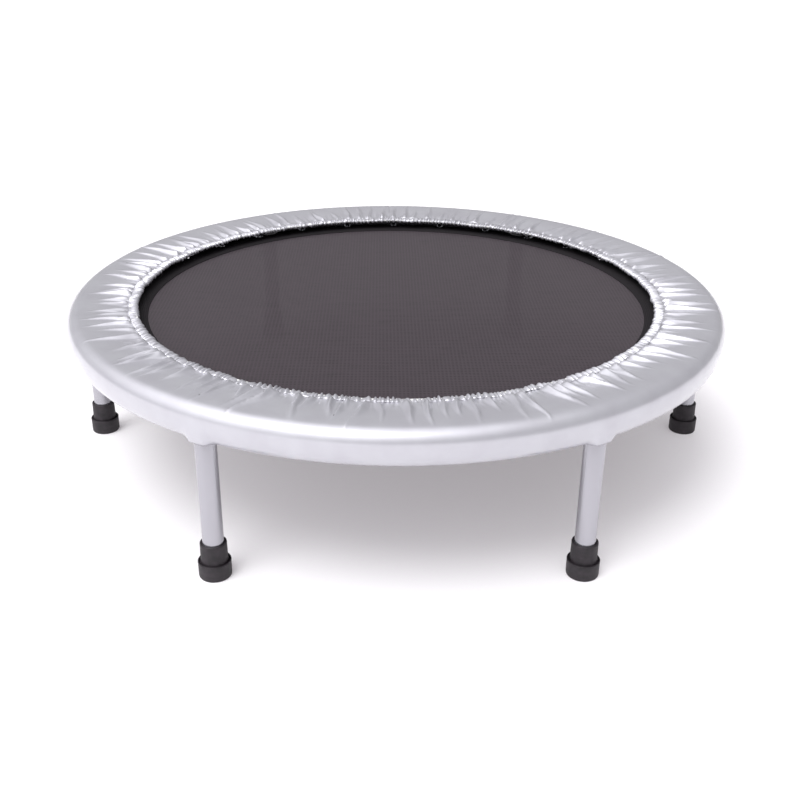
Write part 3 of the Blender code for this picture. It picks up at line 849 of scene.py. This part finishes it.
# Smooth silver enamel over drawn tube: glossier than the ring's powder coat, with long faint
# draw lines down the leg.
silver_enamel, tree, shader = start_material("silver_enamel", "B3B2B8", 0.24, 0.78)
place = add_node(tree, "TexCoord").outputs["Object"]
drawn = add_node(tree, "Mapping", {"Scale": (1.0, 1.0, 0.03)}, {"Vector": place})
lines = add_node(
    tree,
    "TexNoise",
    {"Scale": per_metre(PAINT_DRAW_MM), "Detail": 3.0},
    {"Vector": drawn.outputs["Vector"]},
)
tint = add_node(tree, "ValToRGB", None, {"Fac": lines.outputs["Fac"]})
tint.color_ramp.elements[0].color = linear_colour("ABAAB0")
tint.color_ramp.elements[1].color = linear_colour("B4B3B9")
tree.links.new(tint.outputs["Color"], shader.inputs["Base Color"])
rough = add_node(tree, "MapRange", {"To Min": 0.23, "To Max": 0.27}, {"Value": lines.outputs["Fac"]})
tree.links.new(rough.outputs["Result"], shader.inputs["Roughness"])

leg_outer = (LEG_HIGH.x - LEG_LOW.x) / 2
bore = STUD_RADIUS + BORE_CLEARANCE
leg_outline = [
    (bore, LEG_HIGH.z - 0.0006),
    (leg_outer - LEG_WALL, LEG_HIGH.z - 0.0006),
    (leg_outer - LEG_WALL + 0.0002, LEG_HIGH.z),
    (leg_outer - 0.0005, LEG_HIGH.z),
    (leg_outer - 0.00015, LEG_HIGH.z - 0.00015),
    (leg_outer, LEG_HIGH.z - 0.0005),
    (leg_outer, LEG_LOW.z + 0.0005),
    (leg_outer - 0.0005, LEG_LOW.z),
    (leg_outer - LEG_WALL, LEG_LOW.z),
    (leg_outer - LEG_WALL, LEG_HIGH.z - PLUG_LENGTH),
    (bore, LEG_HIGH.z - PLUG_LENGTH),
]
for number, (x, y) in enumerate(leg_places, 1):
    bm = bmesh.new()
    spin_outline(bm, leg_outline, LEG_STEPS)
    bmesh.ops.translate(bm, verts=bm.verts, vec=(x, y, 0))
    leg = new_piece(f"leg_{number}_tube", bm, silver_enamel, 35)
    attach(leg, f"leg_{number}")
    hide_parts(f"leg_tube_{number}")


# ---------------------------------------------------------------- feet
# A moulded black rubber foot is pushed on to each leg: a collar that grips the tube, and a
# wider cup round it with a raised lip and a shallow groove between the two.

FOOT_STEPS = 72
RUBBER_PITS_MM = 1.1
RUBBER_DUST_MM = 9
FOOT_OUTLINE = [
    (0.0, 0.0004), (0.0120, 0.0004), (0.0124, 0.0), (0.0176, 0.0), (0.0189, 0.0004), (0.0195, 0.0014),
    (0.0197, 0.0030), (0.0197, 0.0182), (0.0199, 0.0196), (0.0199, 0.0206), (0.0195, 0.0213),
    (0.0188, 0.0214), (0.0183, 0.0209), (0.0178, 0.0196), (0.0170, 0.0192), (0.0165, 0.0199),
    (0.0163, 0.0215), (0.0161, 0.0320), (0.0159, 0.0430), (0.0160, 0.0446), (0.0158, 0.0456),
    (0.0152, 0.0460), (0.0140, 0.0459), (0.0133, 0.0454), (0.0130, 0.0442), (0.0130, 0.0060), (0.0, 0.0060),
]

# Moulded natural rubber filled with carbon black: matt, slightly grey where light grazes it,
# with a fine pitted skin and dusty edges.
black_rubber, tree, shader = start_material("black_rubber", "151315", 0.60)
place = add_node(tree, "TexCoord").outputs["Object"]
pits = add_node(tree, "TexNoise", {"Scale": per_metre(RUBBER_PITS_MM), "Detail": 3.0}, {"Vector": place})
dust = add_node(tree, "TexNoise", {"Scale": per_metre(RUBBER_DUST_MM), "Detail": 4.0}, {"Vector": place})
tint = add_node(tree, "ValToRGB", None, {"Fac": dust.outputs["Fac"]})
tint.color_ramp.elements[0].position = 0.35
tint.color_ramp.elements[0].color = linear_colour("1A161A")
tint.color_ramp.elements[1].position = 0.75
tint.color_ramp.elements[1].color = linear_colour("2F282E")
tree.links.new(tint.outputs["Color"], shader.inputs["Base Color"])
bump = add_node(tree, "Bump", {"Strength": 0.25, "Distance": 0.0002}, {"Height": pits.outputs["Fac"]})
tree.links.new(bump.outputs["Normal"], shader.inputs["Normal"])

for number, (x, y) in enumerate(leg_places, 1):
    bm = bmesh.new()
    spin_outline(bm, FOOT_OUTLINE, FOOT_STEPS, closed=False)
    bmesh.ops.translate(bm, verts=bm.verts, vec=(x, y, 0))
    foot = new_piece(f"rubber_foot_{number}", bm, black_rubber, 50)
    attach(foot, f"leg_{number}")
    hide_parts(f"foot_{number}")


# ---------------------------------------------------------------- floor, light and camera
# The trampoline stands on white paper in a pale studio, under one large diffuser in front of
# it and to its left. The camera looks down on it from standing height.

FLOOR_SIZE = 30.0
PAPER_FIBRE_MM = 5
CAMERA_DISTANCE = 1.424
CAMERA_BEARING = math.radians(-0.935)
CAMERA_HEIGHT = 0.7287
CAMERA_PITCH = math.radians(25.52)
CAMERA_YAW = math.radians(1.196)
CAMERA_ROLL = math.radians(0.576)
CAMERA_LENS_MM = 47.06

# Matt seamless paper over a faint light table: almost white, with a barely visible fibre, and
# pale where it is in shadow.
paper, tree, shader = start_material("white_paper", "D9D9DA", 0.9)
place = add_node(tree, "TexCoord").outputs["Object"]
shader.inputs["Emission Color"].default_value = linear_colour("F3EDF2")
shader.inputs["Emission Strength"].default_value = 0.33
fibre = add_node(tree, "TexNoise", {"Scale": per_metre(PAPER_FIBRE_MM), "Detail": 3.0}, {"Vector": place})
tint = add_node(tree, "ValToRGB", None, {"Fac": fibre.outputs["Fac"]})
tint.color_ramp.elements[0].color = linear_colour("D7D6D8")
tint.color_ramp.elements[1].color = linear_colour("DCDCDC")
tree.links.new(tint.outputs["Color"], shader.inputs["Base Color"])
bm = bmesh.new()
bmesh.ops.create_grid(bm, x_segments=1, y_segments=1, size=FLOOR_SIZE / 2)
floor = new_piece("paper_floor", bm, paper)

# A white studio, brightest over the front left and calmer behind and to the right, which the
# vinyl's folds mirror.
BRIGHT_SIDE = Vector((-0.40, -0.26, 0.88))
BRIGHT_STRENGTH = 1.95
WALL_STRENGTH = 0.34
world = bpy.data.worlds.new("studio")
bpy.context.scene.world = world
world.use_nodes = True
tree = world.node_tree
toward = add_node(
    tree,
    "VectorMath",
    {"operation": "DOT_PRODUCT", 1: BRIGHT_SIDE.normalized()},
    {0: add_node(tree, "TexCoord").outputs["Generated"]},
)
level = add_node(
    tree,
    "MapRange",
    {"interpolation_type": "SMOOTHSTEP", "From Min": 0.38, "From Max": 0.97,
     "To Min": WALL_STRENGTH, "To Max": BRIGHT_STRENGTH},
    {"Value": toward.outputs["Value"]},
)
tree.nodes["Background"].inputs["Color"].default_value = linear_colour("FDFCFF")
tree.links.new(level.outputs["Result"], tree.nodes["Background"].inputs["Strength"])

# The key light is one large diffuser, far enough off to light the whole floor evenly.
KEY_STRENGTH = 1.7
KEY_WIDTH = math.radians(32)
KEY_AIM = Vector((0.34, 0.40, -1.0))
key = bpy.data.lights.new("key_diffuser", "SUN")
key.energy = KEY_STRENGTH
key.angle = KEY_WIDTH
key_lamp = bpy.data.objects.new("key_diffuser", key)
bpy.context.scene.collection.objects.link(key_lamp)
key_lamp.rotation_euler = KEY_AIM.to_track_quat("-Z", "Y").to_euler()

camera_data = bpy.data.cameras.new("camera")
camera_data.lens = CAMERA_LENS_MM
camera = bpy.data.objects.new("camera", camera_data)
bpy.context.scene.collection.objects.link(camera)
camera.matrix_world = (
    Matrix.Translation(
        (
            CAMERA_DISTANCE * math.sin(CAMERA_BEARING),
            -CAMERA_DISTANCE * math.cos(CAMERA_BEARING),
            CAMERA_HEIGHT,
        )
    )
    @ Matrix.Rotation(-CAMERA_YAW, 4, "Z")
    @ Matrix.Rotation(math.pi / 2 - CAMERA_PITCH, 4, "X")
    @ Matrix.Rotation(CAMERA_ROLL, 4, "Z")
)
bpy.context.scene.camera = camera
bpy.context.scene.view_settings.view_transform = "Standard"
